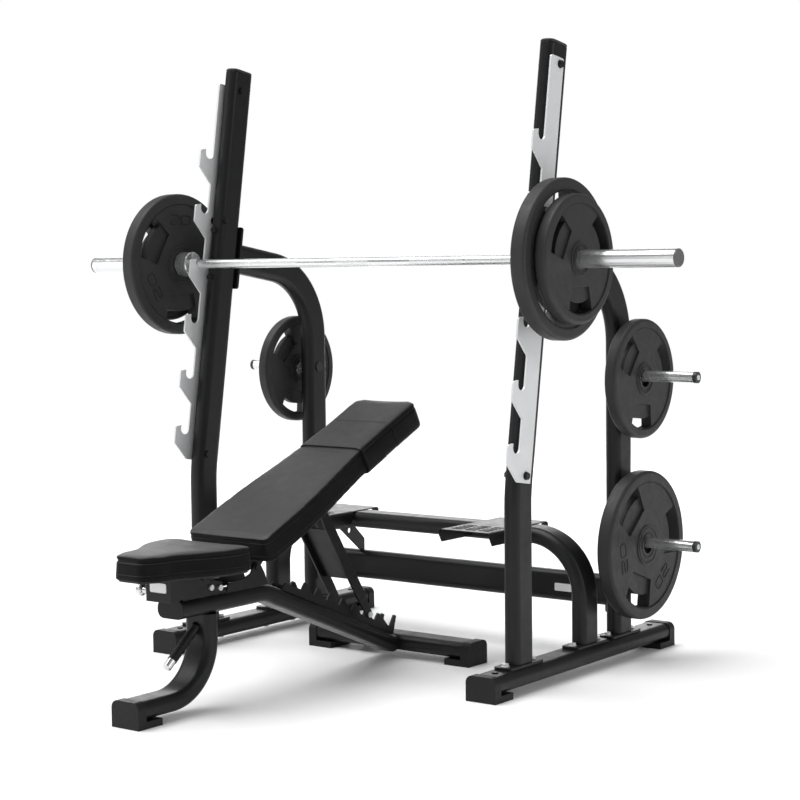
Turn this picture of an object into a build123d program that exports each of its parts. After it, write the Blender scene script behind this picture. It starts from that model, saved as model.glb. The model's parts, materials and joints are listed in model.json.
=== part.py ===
from build123d import *
import os
from math import atan2, cos, hypot, radians, sin, tan

# Half rack with a barbell, disc storage and a free-standing adjustable bench.
# X runs across the rack, -Y is the side where the lifter's feet are, Z is up.
# Lengths are in millimetres, angles in degrees.

os.makedirs("parts", exist_ok=True)

SIDES = {"left": -1, "right": 1}

# Main flat-oval tube
TUBE_W = 95
TUBE_D = 50
TUBE_R = 22
WALL = 3

# Rack base
SIDE_X = 600
BEAM_Z = 46
BEAM_TOP = BEAM_Z + TUBE_D / 2
BEAM_FRONT = -120
BEAM_REAR = 890

# Rubber end caps with a foot pad
CAP_W = 99
CAP_TOP = 73
CAP_ROUND = 21
CAP_WALL = 6
CAP_COLLAR = 30
PAD_LENGTH = 90
PAD_HEIGHT = 19
CAP_CLEAR = 0.2
PLUG_BACK = 72

# Foot plates of the rack's legs
PLATE_T = 8
PLATE_W = 60
PLATE_HALF = 85
BOLT_OFFSET = 68
LEG_FOOT_Z = BEAM_TOP + PLATE_T

# Fasteners, in every joint of the frame
WASHER_R = 12
WASHER_T = 2
HEX_R = 10.5
HEX_H = 7

# Leaning uprights
UPRIGHT_Y = 73.2
BEND_Z = 560
LEAN = 9
UPRIGHT_BEND_R = 500
UPRIGHT_RUN = 1283
TOP_CAP_T = 10

# Bar hook plates, in the leaning frame: s is across the upright, t is along it
HOOK_PLATE_T = 6
HOOK_STANDOFF = 2
HOOK_PITCH = 177
HOOK_COUNT = 6
HOOK_FIRST_T = 109
HOOK_BAR_SLOT = 3
SLOT_S = -74
SLOT_R = 18
LIP_S = -115
HOOK_BACK_S = 9
HOOK_FRONT_S = SLOT_S + SLOT_R
HOOK_LOW_T = 32
HOOK_HIGH_T = 1243
HOOK_BOLTS = ((-17, 52), (-30, 800), (-10, 1224))

# Rear arches
ARCH_Y = 630
ARCH_ARM_T = 692
ARCH_BEND_R = 240
FLANGE_HALF = 100
FLANGE_BOLT = 76

# Lower cross beam, spotter frame and steps
CROSS_Z = 205
SPOTTER_Y = 430
SPOTTER_Z = 392
SPOTTER_BEND_R = 175
CROSS_END_T = 6
LEG_CENTRES = (UPRIGHT_Y, SPOTTER_Y, ARCH_Y)
STEP_T = 3
STEP_X = (235, 420)
STEP_Y = (195, 513)
STEP_FLANGE = 40
GUSSET_X = 400
GUSSET_T = 5

# Storage pegs: height of the axis above the floor
PEG_HEIGHTS = {"mid": 866, "low": 362}
PEG_R = 17
PEG_END = 860
PEG_CAP_T = 12
PEG_HANG_GAP = 0.3

# Barbell
BAR_R = 14
BAR_SEAT_GAP = 0.1
SHAFT_HALF = 1088
SLEEVE_R = 25
SLEEVE_BORE = 17
COLLAR_X = 655
COLLAR_R = 39
SLEEVE_X = 703
SLEEVE_END = 1092
BAR_HALF = 1100
FIT = 0.05

# Discs: outer radius and thickness
BORE_R = 25.1
INSERT_R = 31
LARGE_DISC = (225, 48)
SMALL_DISC = (180, 40)
BAR_DISC_X = 705
PEG_DISC_X = 655
DISC_GAP = 1
LARGE_TURN = {"left": 0, "right": -43}

# Bench frame
BENCH_FRONT = -890
LEG_Y = -590
LEG_BEND_R = 150
RAIL_Z = 289
RAIL_FRONT = -706
RAIL_APEX_Y = -357
RAIL_SLOPE = 22.4
RAIL_END_Y = 243
CROSSBAR_Y = 288
CROSSBAR_HALF = 310
RAIL_TOP = RAIL_Z + TUBE_D / 2

# Backrest
PAD_TILT = 23.9
PAD_EDGE_Y = -490.5
PAD_EDGE_Z = 459
PAD_RUN = 815
PAD_SOFT = 60
BOARD_T = 12
PAD_LOW_HALF = 151
PAD_HEAD_HALF = 114
COVER_START = 512
COVER_T = 3
BACK_PIVOT = (-405, 368)
BRACKET_X = (38, 43)
FRAME_BAR_X = (29, 35)

# Prop and its ladder
PROP_FOOT = (86, 160)
PROP_LENGTH = 424.8
PROP_LEAN = (-0.5435, 0.8397)
PROP_ARM_X = (51, 57)
PIN_R = 6
LADDER_PITCH = 62
LADDER_FIRST = 172
LADDER_TEETH = 7
LADDER_X = (20, 26)

# Seat
SEAT_TOP = 450
SEAT_SOFT = 55
SEAT_PIVOT = (-628, 368)
SEAT_PIN = (-740, 341)
SEAT_PIN_R = 5
CARRIER_X = (41, 45)
INNER_X = (33, 37)


def write(piece, name):
    """Label a finished piece and write its STEP file."""
    piece.part.label = name
    export_step(piece.part, f"parts/{name}.step")


def lean(s, t):
    """Point (y, z) that lies s across and t along the leaning upright."""
    y = UPRIGHT_Y + s * cos(radians(LEAN)) + t * sin(radians(LEAN))
    z = BEND_Z + t * cos(radians(LEAN)) - s * sin(radians(LEAN))
    return y, z


def lean_plane(x):
    """Plane across X whose local axes are s and t."""
    s_axis = (0, cos(radians(LEAN)), -sin(radians(LEAN)))
    return Plane(origin=(x, UPRIGHT_Y, BEND_Z), x_dir=s_axis, z_dir=(1, 0, 0))


def lean_face(x, s, t, outward):
    """Plane on the upright's front (-1) or rear (+1) face."""
    y, z = lean(s, t)
    axis = (0, outward * cos(radians(LEAN)), -outward * sin(radians(LEAN)))
    return Plane(origin=(x, y, z), x_dir=(1, 0, 0), z_dir=axis)


def side_plane(x):
    """Plane across X whose local axes are Y and Z."""
    return Plane.YZ.offset(x)


def oval(plane, width, depth):
    """Hollow section of the main tube."""
    with BuildSketch(plane) as section:
        RectangleRounded(width, depth, TUBE_R)
        RectangleRounded(width - 2 * WALL, depth - 2 * WALL, TUBE_R - WALL, mode=Mode.SUBTRACT)
    return section.sketch


def mirrored(piece):
    """Add the piece's mirror image on the other side of the rack."""
    with piece:
        mirror(about=Plane.YZ)
    return piece


def bent_tube(plane, points, radius, start_dir, width, depth):
    """Main tube swept along a polyline with rounded corners."""
    with BuildPart() as tube:
        with BuildLine(plane) as route:
            FilletPolyline(*points, radius=radius)
        start = Plane(origin=route.line @ 0, x_dir=(1, 0, 0), z_dir=start_dir)
        sweep(sections=oval(start, width, depth), path=route.line)
    return tube


def straight_tube(plane, width, depth, length):
    """Straight run of the main tube."""
    with BuildPart() as tube:
        extrude(oval(plane, width, depth), amount=length)
    return tube


def foot_cap(end, inward):
    """Rubber cap over a tube's end, with a foot pad that runs on under the tube."""
    across = Vector(0, 0, 1).cross(Vector(*inward))
    face = Plane(origin=end, x_dir=across, z_dir=inward)
    with BuildPart() as cap:
        with BuildSketch(face):
            with Locations((0, CAP_TOP / 2)):
                Rectangle(CAP_W, CAP_TOP)
            fillet(vertices().group_by(Axis.Z)[-1], CAP_ROUND)
        extrude(amount=CAP_COLLAR)
        with BuildSketch(face):
            with Locations((0, PAD_HEIGHT / 2)):
                Rectangle(CAP_W, PAD_HEIGHT)
        extrude(amount=PAD_LENGTH)
        with BuildSketch(face.offset(CAP_WALL)):
            with Locations((0, BEAM_Z)):
                RectangleRounded(TUBE_W + 2 * CAP_CLEAR, TUBE_D + 2 * CAP_CLEAR, TUBE_R)
        extrude(amount=PAD_LENGTH, mode=Mode.SUBTRACT)
    return cap


def disc(plane, radius, thickness):
    """Round disc on a plane, added to the part being built."""
    with BuildSketch(plane) as outline:
        Circle(radius)
    extrude(outline.sketch, amount=thickness)


def hex_bolt(seat):
    """Washer and hexagon on a seat plane, added to the part being built."""
    disc(seat, WASHER_R, WASHER_T)
    with BuildSketch(seat.offset(WASHER_T)) as head:
        RegularPolygon(HEX_R, 6)
    extrude(head.sketch, amount=HEX_H)


def rod(start, end, radius, mode=Mode.ADD):
    """Round rod between two points, added to or cut from the part being built."""
    axis = Vector(*end) - Vector(*start)
    with BuildSketch(Plane(origin=start, z_dir=axis)) as outline:
        Circle(radius)
    extrude(outline.sketch, amount=axis.length, mode=mode)


def side_plates(outline, x_range, holes=()):
    """Mirrored pair of flat plates; the outline and holes are in (y, z)."""
    inner, outer = x_range
    with BuildPart() as plates:
        with BuildSketch(side_plane(inner)):
            with BuildLine():
                Polyline(*outline, close=True)
            make_face()
            for y, z, radius in holes:
                with Locations((y, z)):
                    Circle(radius, mode=Mode.SUBTRACT)
        extrude(amount=outer - inner)
        mirror(about=Plane.YZ)
    return plates


# Rack base and legs


def make_base():
    length = BEAM_REAR - BEAM_FRONT - 2 * CAP_WALL
    origin = (SIDE_X, BEAM_FRONT + CAP_WALL, BEAM_Z)
    start = Plane(origin=origin, x_dir=(1, 0, 0), z_dir=(0, 1, 0))
    write(mirrored(straight_tube(start, TUBE_W, TUBE_D, length)), "base_beams")
    caps = foot_cap((SIDE_X, BEAM_FRONT, 0), (0, 1, 0))
    with caps:
        add(foot_cap((SIDE_X, BEAM_REAR, 0), (0, -1, 0)).part)
    write(mirrored(caps), "base_caps")


def make_flange_plates():
    cross_end = SIDE_X - TUBE_D / 2 - CROSS_END_T
    with BuildPart() as plates:
        with BuildSketch(Plane.XY.offset(BEAM_TOP)):
            with Locations(*[(SIDE_X, y) for y in LEG_CENTRES]):
                RectangleRounded(PLATE_W, 2 * PLATE_HALF, PLATE_T)
        extrude(amount=PLATE_T)
        with BuildSketch(lean_face(SIDE_X, TUBE_W / 2, ARCH_ARM_T, 1)):
            RectangleRounded(PLATE_W, 2 * FLANGE_HALF, PLATE_T)
        extrude(amount=PLATE_T)
        with BuildSketch(side_plane(cross_end)):
            with Locations((ARCH_Y, CROSS_Z)):
                RectangleRounded(PLATE_W, 130, PLATE_T)
        extrude(amount=CROSS_END_T)
        mirror(about=Plane.YZ)
    write(plates, "flange_plates")


def make_frame_bolts():
    side_face = SIDE_X + TUBE_D / 2
    hook_face = side_face + HOOK_STANDOFF
    with BuildPart() as bolts:
        for centre in LEG_CENTRES:
            for y in (centre - BOLT_OFFSET, centre + BOLT_OFFSET):
                hex_bolt(Plane(origin=(SIDE_X, y, LEG_FOOT_Z), z_dir=(0, 0, 1)))
                hex_bolt(Plane(origin=(SIDE_X, y, BEAM_Z - TUBE_D / 2), z_dir=(0, 0, -1)))
        for t in (ARCH_ARM_T - FLANGE_BOLT, ARCH_ARM_T + FLANGE_BOLT):
            hex_bolt(lean_face(SIDE_X, TUBE_W / 2 + PLATE_T, t, 1))
            hex_bolt(lean_face(SIDE_X, -TUBE_W / 2, t, -1))
        for y, z in [lean(s, t) for s, t in HOOK_BOLTS]:
            hex_bolt(Plane(origin=(hook_face + HOOK_PLATE_T, y, z), z_dir=(1, 0, 0)))
            disc(Plane(origin=(side_face, y, z), z_dir=(1, 0, 0)), WASHER_R, HOOK_STANDOFF)
            hex_bolt(Plane(origin=(SIDE_X - TUBE_D / 2, y, z), z_dir=(-1, 0, 0)))
        mirror(about=Plane.YZ)
    write(bolts, "frame_bolts")


def make_uprights():
    points = [(UPRIGHT_Y, LEG_FOOT_Z), (UPRIGHT_Y, BEND_Z), lean(0, UPRIGHT_RUN)]
    tube = bent_tube(side_plane(SIDE_X), points, UPRIGHT_BEND_R, (0, 0, 1), TUBE_D, TUBE_W)
    write(mirrored(tube), "uprights")
    along = (0, sin(radians(LEAN)), cos(radians(LEAN)))
    top = Plane(origin=(SIDE_X, *lean(0, UPRIGHT_RUN)), x_dir=(1, 0, 0), z_dir=along)
    with BuildPart() as caps:
        with BuildSketch(top):
            RectangleRounded(TUBE_D, TUBE_W, TUBE_R)
        extrude(amount=TOP_CAP_T)
        chamfer(faces().sort_by(Axis.Z)[-1].edges(), TOP_CAP_T / 3)
        mirror(about=Plane.YZ)
    write(caps, "upright_caps")


def make_arch(side, sign):
    arm_y, arm_z = lean(0, ARCH_ARM_T)
    corner_z = arm_z - (ARCH_Y - arm_y) * tan(radians(LEAN))
    flange_s = TUBE_W / 2 + PLATE_T
    points = [(ARCH_Y, LEG_FOOT_Z), (ARCH_Y, corner_z), lean(flange_s, ARCH_ARM_T)]
    plane = side_plane(sign * SIDE_X)
    tube = bent_tube(plane, points, ARCH_BEND_R, (0, 0, 1), TUBE_D, TUBE_W)
    write(tube, f"rear_arch_{side}")


# Bar hooks


def hook_slots():
    return [(0, HOOK_FIRST_T + i * HOOK_PITCH) for i in range(HOOK_COUNT)]


def hook_lip():
    """Outline of one hook's nose, with its slot's bottom at t = 0."""
    nose = [
        (HOOK_BACK_S, -78),
        (HOOK_FRONT_S, -78),
        (LIP_S, -30),
        (LIP_S, 22),
        (SLOT_S - SLOT_R, 28),
        (HOOK_BACK_S, 28),
    ]
    with BuildSketch() as lip:
        with BuildLine():
            Polyline(*nose, close=True)
        make_face()
        fillet(lip.vertices().group_by(Axis.X)[0], 6)
    return lip.sketch


def slot_cut():
    """Round-bottomed slot that is open at its top."""
    with BuildSketch() as cut:
        with Locations((SLOT_S, SLOT_R)):
            Circle(SLOT_R)
        with Locations((SLOT_S, 2 * SLOT_R)):
            Rectangle(2 * SLOT_R, 2 * SLOT_R)
    return cut.sketch


def make_hook_plates():
    inner = SIDE_X + TUBE_D / 2 + HOOK_STANDOFF
    mid_s = (HOOK_BACK_S + HOOK_FRONT_S) / 2
    mid_t = (HOOK_LOW_T + HOOK_HIGH_T) / 2
    with BuildPart() as plates:
        with BuildSketch(lean_plane(inner)):
            with Locations((mid_s, mid_t)):
                RectangleRounded(HOOK_BACK_S - HOOK_FRONT_S, HOOK_HIGH_T - HOOK_LOW_T, PLATE_T)
            with Locations(*hook_slots()):
                add(hook_lip())
            with Locations(*hook_slots()):
                add(slot_cut(), mode=Mode.SUBTRACT)
        extrude(amount=HOOK_PLATE_T)
        mirror(about=Plane.YZ)
    write(plates, "hook_plates")


# Cross members


def make_cross_beam():
    half = SIDE_X - TUBE_D / 2 - CROSS_END_T
    start = Plane(origin=(-half, ARCH_Y, CROSS_Z), x_dir=(0, 1, 0), z_dir=(1, 0, 0))
    write(straight_tube(start, TUBE_D, TUBE_W, 2 * half), "lower_cross_beam")


def make_spotter():
    points = [
        (-SIDE_X, LEG_FOOT_Z),
        (-SIDE_X, SPOTTER_Z),
        (SIDE_X, SPOTTER_Z),
        (SIDE_X, LEG_FOOT_Z),
    ]
    plane = Plane(origin=(0, SPOTTER_Y, 0), x_dir=(1, 0, 0), z_dir=(0, -1, 0))
    tube = bent_tube(plane, points, SPOTTER_BEND_R, (0, 0, 1), TUBE_D, TUBE_W)
    write(tube, "spotter_frame")


def make_steps():
    """Spotter's foot plates: folded down along both sides, with short raised ribs."""
    under = SPOTTER_Z + TUBE_D / 2
    top = under + STEP_T
    low = top - STEP_FLANGE
    lip = 14
    bend_r = 9
    near, far = STEP_X
    front, rear = STEP_Y
    middle_x = (near + far) / 2
    tube_front = SPOTTER_Y - TUBE_W / 2 - 2
    tube_rear = SPOTTER_Y + TUBE_W / 2 + 2
    hang = (Align.CENTER, Align.MAX)
    trim = [
        (front - 1, top - lip),
        (front + lip, low),
        (tube_front - lip, low),
        (tube_front, low + lip),
        (tube_front, under),
        (tube_rear, under),
        (tube_rear, top - lip),
        (rear + 1, top - lip),
        (rear + 1, low - 1),
        (front - 1, low - 1),
    ]
    with BuildPart() as steps:
        with BuildSketch(Plane.XZ.offset(-front)) as section:
            with Locations((middle_x, top)):
                Rectangle(far - near, STEP_FLANGE, align=hang)
            fillet(section.vertices().group_by(Axis.Y)[-1], bend_r)
            with Locations((middle_x, under)):
                Rectangle(far - near - 2 * STEP_T, STEP_FLANGE, align=hang, mode=Mode.SUBTRACT)
        extrude(amount=front - rear)
        with BuildSketch(side_plane(near - 1)):
            with BuildLine():
                Polyline(*trim, close=True)
            make_face()
        extrude(amount=far - near + 2, mode=Mode.SUBTRACT)
        with BuildSketch(Plane.XY.offset(top)):
            with Locations((middle_x, front + 75)):
                with GridLocations(50, 20, 3, 5):
                    SlotOverall(36, 7)
        extrude(amount=1.5)
        mirror(about=Plane.YZ)
    write(steps, "steps")


def make_gusset():
    outline = [
        (415, 367),
        (455, 341),
        (513, 335),
        (612, 258),
        (622, 250),
        (640, 250),
        (640, 290),
        (512, 405),
        (440, 405),
    ]
    with BuildPart() as gusset:
        with BuildSketch(side_plane(-GUSSET_X)):
            with BuildLine():
                Polyline(*outline, close=True)
            make_face()
            with Locations((SPOTTER_Y, SPOTTER_Z)):
                RectangleRounded(TUBE_W, TUBE_D, TUBE_R, mode=Mode.SUBTRACT)
            with Locations((ARCH_Y, CROSS_Z)):
                RectangleRounded(TUBE_D, TUBE_W, TUBE_R, mode=Mode.SUBTRACT)
            with Locations((510, 370), (560, 325)):
                Circle(9, mode=Mode.SUBTRACT)
        extrude(amount=GUSSET_T)
    write(gusset, "step_gusset")


# Storage pegs


def make_pegs():
    face = SIDE_X + TUBE_D / 2
    with BuildPart() as pegs:
        for z in PEG_HEIGHTS.values():
            rod((face, ARCH_Y, z), (PEG_END, ARCH_Y, z), PEG_R)
        mirror(about=Plane.YZ)
    write(pegs, "storage_pegs")
    with BuildPart() as caps:
        for z in PEG_HEIGHTS.values():
            rod((PEG_END, ARCH_Y, z), (PEG_END + PEG_CAP_T, ARCH_Y, z), PEG_R)
        mirror(about=Plane.YZ)
    write(caps, "peg_caps")


def make_plugs():
    with BuildPart() as plugs:
        for y in (BEAM_FRONT + PLUG_BACK, BEAM_REAR - PLUG_BACK):
            disc(Plane(origin=(SIDE_X, y, BEAM_TOP), z_dir=(0, 0, 1)), 9, 3)
        for z in PEG_HEIGHTS.values():
            inner = (SIDE_X - TUBE_D / 2, ARCH_Y, z)
            disc(Plane(origin=inner, z_dir=(-1, 0, 0)), PEG_R, 3)
        mirror(about=Plane.YZ)
    write(plugs, "tube_plugs")


# Barbell


def bar_centre():
    """The bar rests at the bottom of its slot's round floor."""
    slot_t = HOOK_FIRST_T + HOOK_BAR_SLOT * HOOK_PITCH
    y, z = lean(SLOT_S, slot_t + SLOT_R)
    return y, z - (SLOT_R - BAR_R) + BAR_SEAT_GAP


def revolved(sign, y, z, profile):
    """Turned piece about the X axis through (y, z); the profile is (x, radius)."""
    plane = Plane(origin=(0, y, z), x_dir=(sign, 0, 0), z_dir=(0, -sign, 0))
    with BuildPart() as piece:
        with BuildSketch(plane):
            with BuildLine():
                Polyline(*profile, close=True)
            make_face()
        revolve(axis=Axis((0, y, z), (1, 0, 0)))
    return piece


def make_bar():
    y, z = bar_centre()
    with BuildPart() as shaft:
        rod((-SHAFT_HALF, y, z), (SHAFT_HALF, y, z), BAR_R)
    write(shaft, "bar_shaft")


def make_sleeve(side, sign):
    y, z = bar_centre()
    bearing_r = BAR_R + FIT
    bearing = 40
    sleeve = [
        (COLLAR_X, bearing_r),
        (COLLAR_X, COLLAR_R - 3),
        (COLLAR_X + 3, COLLAR_R),
        (SLEEVE_X - 2, COLLAR_R),
        (SLEEVE_X, COLLAR_R - 2),
        (SLEEVE_X, SLEEVE_R),
        (SLEEVE_END, SLEEVE_R),
        (SLEEVE_END, bearing_r),
        (SLEEVE_END - bearing, bearing_r),
        (SLEEVE_END - bearing, SLEEVE_BORE),
        (COLLAR_X + bearing, SLEEVE_BORE),
        (COLLAR_X + bearing, bearing_r),
    ]
    write(revolved(sign, y, z, sleeve), f"bar_sleeve_{side}")
    cap = [
        (SLEEVE_END, 0),
        (SLEEVE_END, SLEEVE_R),
        (BAR_HALF - 3, SLEEVE_R),
        (BAR_HALF, SLEEVE_R - 3),
        (BAR_HALF, 0),
    ]
    write(revolved(sign, y, z, cap), f"bar_end_cap_{side}")


# Discs


def grip_sector(radius, inner, outer, narrow, wide):
    """Trapezoid around the local -Y axis, cut off by an arc; sizes are parts of the radius."""
    with BuildSketch() as sector:
        Circle(radius * outer)
        with BuildLine():
            Polyline(
                (-radius * narrow, -radius * inner),
                (radius * narrow, -radius * inner),
                (radius * wide, -radius),
                (-radius * wide, -radius),
                close=True,
            )
        make_face(mode=Mode.INTERSECT)
    return sector.sketch


def disc_plane(sign, start_x, y, z, thickness, turn):
    """Plane on the disc's face with the lower X; the disc is turned about its axis."""
    low = start_x if sign > 0 else -start_x - thickness
    across = (0, cos(radians(turn)), sin(radians(turn)))
    return Plane(origin=(low, y, z), x_dir=across, z_dir=(1, 0, 0))


def make_disc(name, base, size):
    """Rubber disc with a raised rim and hub, three pockets and three grip openings."""
    radius, thickness = size
    step = 3
    pocket = thickness / 4
    rim_inner = radius * 0.86
    boss = radius * 0.27
    grip_inner = radius * 0.67
    edge_r = 10
    pocket_shape = (0.42, 0.85, 0.25, 0.37)
    grip_shape = (0.5, 0.85, 0.27, 0.37)
    ends = (base, base.offset(thickness))
    with BuildPart() as body:
        with BuildSketch(base):
            Circle(radius)
        extrude(amount=thickness)
        fillet(edges(), edge_r)
        for end, depth in zip(ends, (step, -step)):
            with BuildSketch(end):
                Circle(rim_inner)
                Circle(boss, mode=Mode.SUBTRACT)
            extrude(amount=depth, mode=Mode.SUBTRACT)
        for end, depth in zip(ends, (pocket, -pocket)):
            with BuildSketch(end):
                with PolarLocations(0, 3):
                    add(grip_sector(radius, *pocket_shape))
            extrude(amount=depth, mode=Mode.SUBTRACT)
        with BuildSketch(base):
            with PolarLocations(0, 3):
                add(grip_sector(radius, *grip_shape))
            Circle(grip_inner, mode=Mode.SUBTRACT)
            Circle(INSERT_R)
        extrude(amount=thickness, mode=Mode.SUBTRACT)
    write(body, name)


def make_inserts(name, bases):
    """Steel hub rings; each entry is its plane and its thickness."""
    with BuildPart() as inserts:
        for base, thickness in bases:
            with BuildSketch(base) as ring:
                Circle(INSERT_R)
                Circle(BORE_R, mode=Mode.SUBTRACT)
            extrude(ring.sketch, amount=thickness)
    write(inserts, name)


def make_bar_discs(side, sign):
    y, z = bar_centre()
    second_x = BAR_DISC_X + LARGE_DISC[1] + DISC_GAP
    large = disc_plane(sign, BAR_DISC_X, y, z, LARGE_DISC[1], LARGE_TURN[side])
    small = disc_plane(sign, second_x, y, z, SMALL_DISC[1], 0)
    make_disc(f"bar_disc_large_{side}", large, LARGE_DISC)
    make_disc(f"bar_disc_small_{side}", small, SMALL_DISC)
    make_inserts(f"bar_inserts_{side}", ((large, LARGE_DISC[1]), (small, SMALL_DISC[1])))


def make_peg_disc(name, sign, level, size, turn):
    z = PEG_HEIGHTS[level] - (BORE_R - PEG_R - PEG_HANG_GAP)
    base = disc_plane(sign, PEG_DISC_X, ARCH_Y, z, size[1], turn)
    make_disc(f"peg_disc_{name}", base, size)
    make_inserts(f"peg_insert_{name}", ((base, size[1]),))


# Bench frame


def slope(w, v):
    """Point (y, z) that lies w down the rail's slope and v above its centre line."""
    y = RAIL_APEX_Y + w * cos(radians(RAIL_SLOPE)) + v * sin(radians(RAIL_SLOPE))
    z = RAIL_Z - w * sin(radians(RAIL_SLOPE)) + v * cos(radians(RAIL_SLOPE))
    return y, z


def make_bench_frame():
    leg = [(BENCH_FRONT + CAP_WALL, BEAM_Z), (LEG_Y, BEAM_Z), (LEG_Y, RAIL_Z - TUBE_D / 2)]
    tube = bent_tube(side_plane(0), leg, LEG_BEND_R, (0, 1, 0), TUBE_W, TUBE_D)
    write(tube, "bench_leg")
    run = (RAIL_END_Y - RAIL_APEX_Y) / cos(radians(RAIL_SLOPE))
    rail = [(RAIL_FRONT, RAIL_Z), (RAIL_APEX_Y, RAIL_Z), slope(run, 0)]
    half = CROSSBAR_HALF - CAP_WALL
    bar_start = Plane(origin=(-half, CROSSBAR_Y, BEAM_Z), x_dir=(0, 1, 0), z_dir=(1, 0, 0))
    tube = bent_tube(side_plane(0), rail, LEG_BEND_R, (0, 1, 0), TUBE_W, TUBE_D)
    with tube:
        with BuildSketch(bar_start) as outside:
            RectangleRounded(TUBE_W, TUBE_D, TUBE_R)
        extrude(outside.sketch, amount=2 * half, mode=Mode.SUBTRACT)
    write(tube, "bench_rail")
    write(straight_tube(bar_start, TUBE_W, TUBE_D, 2 * half), "bench_crossbar")
    caps = mirrored(foot_cap((CROSSBAR_HALF, CROSSBAR_Y, 0), (-1, 0, 0)))
    with caps:
        add(foot_cap((0, BENCH_FRONT, 0), (0, 1, 0)).part)
        rail_end = Plane(origin=(0, RAIL_FRONT, RAIL_Z), x_dir=(1, 0, 0), z_dir=(0, -1, 0))
        with BuildSketch(rail_end) as end_cap:
            RectangleRounded(TUBE_W, TUBE_D, TUBE_R)
        extrude(end_cap.sketch, amount=CAP_WALL)
    write(caps, "bench_caps")


def make_handle():
    start = Vector(0, LEG_Y - TUBE_D / 2, 227)
    axis = Vector(0, -0.779, -0.627)
    bar_r = 9
    grip_r = 13.5
    run = 150
    grip_from = 26
    grip_to = 122
    with BuildPart() as bar:
        rod(start - axis * 15, start + axis * grip_to, bar_r)
        split(bisect_by=Plane(origin=start, z_dir=(0, -1, 0)), keep=Keep.TOP)
        rod(start + axis * grip_to, start + axis * run, bar_r + 3)
        chamfer(edges().filter_by(GeomType.CIRCLE).sort_by(Axis.Z)[0], 3)
    write(bar, "handle_bar")
    with BuildPart() as grip:
        rod(start + axis * grip_from, start + axis * grip_to, grip_r)
        for i in range(8):
            rib = start + axis * (grip_from + 10 + i * 11)
            with BuildSketch(Plane(origin=rib, z_dir=axis)) as ring:
                Circle(grip_r + 1)
                Circle(grip_r - 1.5, mode=Mode.SUBTRACT)
            extrude(ring.sketch, amount=3, mode=Mode.SUBTRACT)
        rod(start, start + axis * run, bar_r, mode=Mode.SUBTRACT)
    write(grip, "handle_grip")


def make_wheels():
    wheel_x = 170
    wheel_half = 11
    wheel_r = 24
    axle_r = 5
    ear_t = 4
    ear = wheel_half + 1
    back_y = CROSSBAR_Y + TUBE_W / 2
    axle_y = back_y + 32
    axle_z = 28
    outline = [
        (back_y, 22),
        (back_y, 62),
        (axle_y, axle_z + 12),
        (axle_y + 10, axle_z),
        (axle_y, axle_z - 10),
    ]
    with BuildPart() as mounts:
        with BuildSketch(Plane.XZ.offset(-back_y - ear_t)):
            with Locations((wheel_x, BEAM_Z - 4)):
                Rectangle(2 * (ear + ear_t), 40)
        extrude(amount=ear_t)
        for x in (wheel_x - ear - ear_t, wheel_x + ear):
            with BuildSketch(side_plane(x)):
                with BuildLine():
                    Polyline(*outline, close=True)
                make_face()
            extrude(amount=ear_t)
        rod((wheel_x - ear - 7, axle_y, axle_z), (wheel_x + ear + 7, axle_y, axle_z), axle_r)
        mirror(about=Plane.YZ)
    write(mounts, "wheel_mounts")
    for side, sign in SIDES.items():
        ends = [(sign * wheel_x + x, axle_y, axle_z) for x in (-wheel_half, wheel_half)]
        with BuildPart() as wheel:
            rod(*ends, wheel_r)
            chamfer(edges(), 2)
            rod(*ends, axle_r + FIT, mode=Mode.SUBTRACT)
        write(wheel, f"transport_wheel_{side}")


# Backrest


def pad_plane(n):
    """Plane parallel to the backrest's face, n above it; local Y runs to the head."""
    up = (0, -sin(radians(PAD_TILT)), cos(radians(PAD_TILT)))
    origin = Vector(0, PAD_EDGE_Y, PAD_EDGE_Z) + Vector(*up) * n
    return Plane(origin=origin, x_dir=(1, 0, 0), z_dir=up)


def pad_point(u, n):
    """Point (y, z) that lies u along the backrest and n above its face."""
    y = PAD_EDGE_Y + u * cos(radians(PAD_TILT)) - n * sin(radians(PAD_TILT))
    z = PAD_EDGE_Z + u * sin(radians(PAD_TILT)) + n * cos(radians(PAD_TILT))
    return y, z


def back_outline(inset):
    """Tapered outline of the backrest."""
    low = PAD_LOW_HALF - inset
    head = PAD_HEAD_HALF - inset
    with BuildSketch() as outline:
        with BuildLine():
            right = Line((low, inset), (low, 110))
            taper = Bezier((low, 110), (low, 330), (head, 420), (head, 650))
            side = Line((head, 650), (head, PAD_RUN - inset))
            Line(side @ 1, (0, PAD_RUN - inset))
            Line((0, PAD_RUN - inset), (0, inset))
            Line((0, inset), right @ 0)
        make_face()
        mirror(about=Plane.YZ)
        corners = outline.vertices().group_by(Axis.Y)
        fillet(corners[0] + corners[-1], 24 - inset)
    return outline.sketch


def make_back_pad():
    with BuildPart() as pad:
        with BuildSketch(pad_plane(-PAD_SOFT)):
            add(back_outline(0))
        extrude(amount=PAD_SOFT)
    write(pad, "back_pad")
    with BuildPart() as board:
        with BuildSketch(pad_plane(-PAD_SOFT - BOARD_T)):
            add(back_outline(8))
        extrude(amount=BOARD_T)
    write(board, "back_board")
    gap = 0.3
    depth = PAD_SOFT + BOARD_T
    with BuildPart() as cover:
        with BuildSketch(pad_plane(-depth - COVER_T - gap)):
            add(back_outline(-COVER_T - gap))
        extrude(amount=depth + 2 * (COVER_T + gap))
        with BuildSketch(pad_plane(-depth - gap)):
            add(back_outline(-gap))
        extrude(amount=depth + 2 * gap, mode=Mode.SUBTRACT)
        y, z = pad_point(COVER_START, 0)
        along = (0, cos(radians(PAD_TILT)), sin(radians(PAD_TILT)))
        split(bisect_by=Plane(origin=(0, y, z), z_dir=along), keep=Keep.TOP)
    write(cover, "head_cover")


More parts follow.
